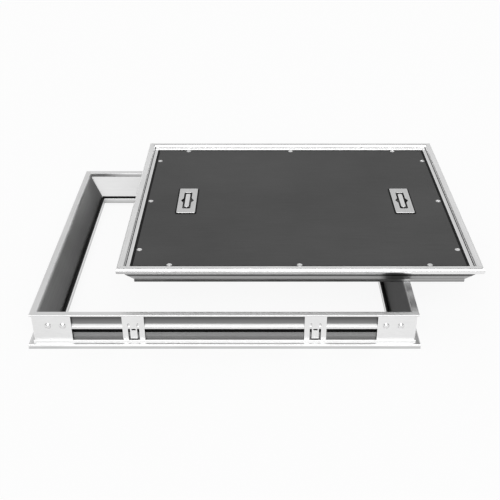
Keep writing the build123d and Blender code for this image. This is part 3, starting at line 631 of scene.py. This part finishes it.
for side in TURN:
    piece(f"rim_{side}", rim_edge(side), "cover", "rim_aluminium", rim_metal[along(side)], f"cover_rim_{side}")
cup_holes = [round_rectangle(*CUP_OPENING, (s * HANDLE_AT, 0)) for s in (-1, 1)]
board = slab([round_rectangle(BOARD_WIDTH, BOARD_DEPTH, 1.5)] + cup_holes, BOARD_TOP - BOARD_THICK, BOARD_TOP, (0.3, 0.8))
piece("board", moved(board, COVER_AT), "cover", "deck_board", dark_board, "deck_board")
screws = [moved(cross_head(SCREW_RADIUS, SCREW_HIGH), COVER_AT + np.array([x, y, BOARD_TOP]), 17 * i)
          for i, (x, y) in enumerate(screw_places())]
piece("screw_heads", together(screws), "cover", "screw_steel", screw_metal, "board_screws")
# Black seal strips round the board: real seals that also stand in for the shadow line between rim and board.
for side in TURN:
    piece(f"board_seal_{side}", moved(mitred(BOARD_SEAL, side, COVER_WIDTH, COVER_DEPTH, 0.1, 4), COVER_AT),
          "cover", "gasket_rubber", black_rubber, "board_seal")
pan = slab([round_rectangle(PAN_WIDTH, PAN_DEPTH, 4.0)], PAN_TOP - PAN_THICK, PAN_TOP, (0.5, 0.3))
piece("pan", moved(pan, COVER_AT), "cover", "pan_aluminium", pan_metal, "cover_pan")
for number, y in enumerate(STIFFENER_AT, start=1):
    hat = [(-31, -66), (-31, -69), (-20, -69), (-20, -85), (20, -85), (20, -69), (31, -69), (31, -66),
           (17, -66), (17, -82), (-17, -82), (-17, -66)]
    hat = [(a, b, 2.0 if abs(a) == 20 and b == -85 else 0.5) for a, b in hat]
    piece(f"stiffener_{number}", moved(straight(hat, -450, 450), COVER_AT + np.array([0, y, 0])), "cover",
          "beam_aluminium", beam_metal, f"pan_stiffener_{number}")
small_rivet = lathe(np.array(dome(4.5, 1.5, 6)) * [1, -1], 20)
pan_rivets = [moved(small_rivet, COVER_AT + np.array([x, y, -69.0])) for x, y in pan_rivet_places()]
piece("pan_rivet_heads", together(pan_rivets), "cover", "rivet_aluminium", rivet_metal, "pan_rivets")
for name, sign in (("left", -1), ("right", 1)):
    place = COVER_AT + np.array([sign * HANDLE_AT, 0, 0])
    # Black seal round the handle plate: a real seal that also stands in for the shadow outline round the plate.
    seal = slab([round_rectangle(PLATE_SEAL[0], PLATE_SEAL[1], 5.0), round_rectangle(*SEAL_OPENING)],
                BOARD_TOP, BOARD_TOP + PLATE_SEAL[2], (0.1, 0.3))
    piece(f"handle_seal_{name}", moved(seal, place), "cover", "gasket_rubber", black_rubber, f"handle_seal_{name}")
    piece(f"plate_{name}", moved(handle_plate(), place), "cover", "plate_steel", plate_metal, f"handle_plate_{name}")
    piece(f"bar_{name}", moved(lift_bar(), place), f"{name}_lift_bar", "bar_steel", bar_metal, f"handle_bar_{name}")

carried_over = {"rim_key": key_metal, "deck_beam": beam_metal, "handle_cup": cup_metal,
                "handle_bushes": bush_nylon, "handle_collars": collar_metal}
for name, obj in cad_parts.items():
    for start, material in carried_over.items():
        if name.startswith(start):
            obj.data.materials.clear()
            obj.data.materials.append(material)

# Floor, light and camera
FLOOR_WHITE = 0.90

def floor():
    """Plain pale floor."""
    mesh = bpy.data.meshes.new("floor")
    half = 30.0
    mesh.from_pydata([(-half, -half, 0), (half, -half, 0), (half, half, 0), (-half, half, 0)], [], [(0, 1, 2, 3)])
    material, tree, shader, place = new_finish("pale_floor")
    shader.inputs["Base Color"].default_value = grey(0.92)
    shader.inputs["Roughness"].default_value = 0.9
    shader.inputs["Specular IOR Level"].default_value = 0.1
    path = node(tree, "ShaderNodeLightPath").outputs
    seen = summed(tree, "MAXIMUM", summed(tree, "MAXIMUM", path["Is Camera Ray"], path["Is Glossy Ray"]),
                  path["Is Transmission Ray"])
    white = node(tree, "ShaderNodeEmission", {"Color": grey(1.0), "Strength": 1.0})
    share = summed(tree, "MULTIPLY", seen, FLOOR_WHITE)
    mix = node(tree, "ShaderNodeMixShader", {0: share, 1: shader.outputs["BSDF"], 2: white.outputs["Emission"]})
    tree.links.new(mix.outputs["Shader"], tree.nodes["Material Output"].inputs["Surface"])
    mesh.materials.append(material)
    obj = bpy.data.objects.new("floor", mesh)
    bpy.context.scene.collection.objects.link(obj)


def lamp(name, strength, azimuth, elevation, spread):
    """Distant soft lamp. Azimuth 0 is in front, 90 is on the right; elevation is above the horizon."""
    data = bpy.data.lights.new(name, "SUN")
    data.energy = strength
    data.angle = math.radians(spread)
    obj = bpy.data.objects.new(name, data)
    obj.rotation_euler = (math.radians(90 - elevation), 0, math.radians(azimuth))
    bpy.context.scene.collection.objects.link(obj)


floor()
lamp("front_light", 1.6, 0, 38, 60)
lamp("back_light", 0.55, 180, 42, 90)
world = bpy.data.worlds.new("studio")
world.use_nodes = True
world.node_tree.nodes["Background"].inputs["Color"].default_value = grey(1.0)
world.node_tree.nodes["Background"].inputs["Strength"].default_value = 0.42
bpy.context.scene.world = world
bpy.context.scene.view_settings.view_transform = "Standard"

# The camera's place, pitch and focal length were fitted to the photograph's edges.
IMAGE_SIDE = 500.0
FOCAL_PIXELS = 842.8
PITCH_DOWN = 30.74
CAMERA_AT = (0.0908, -2.2996, 1.4085)
CENTRE_X = 257.93
camera_data = bpy.data.cameras.new("camera")
camera_data.sensor_width = 36.0
camera_data.lens = FOCAL_PIXELS / IMAGE_SIDE * camera_data.sensor_width
camera_data.shift_x = (IMAGE_SIDE / 2 - CENTRE_X) / IMAGE_SIDE
camera = bpy.data.objects.new("camera", camera_data)
camera.location = CAMERA_AT
camera.rotation_euler = (math.radians(90 - PITCH_DOWN), 0, 0)
bpy.context.scene.collection.objects.link(camera)
bpy.context.scene.camera = camera
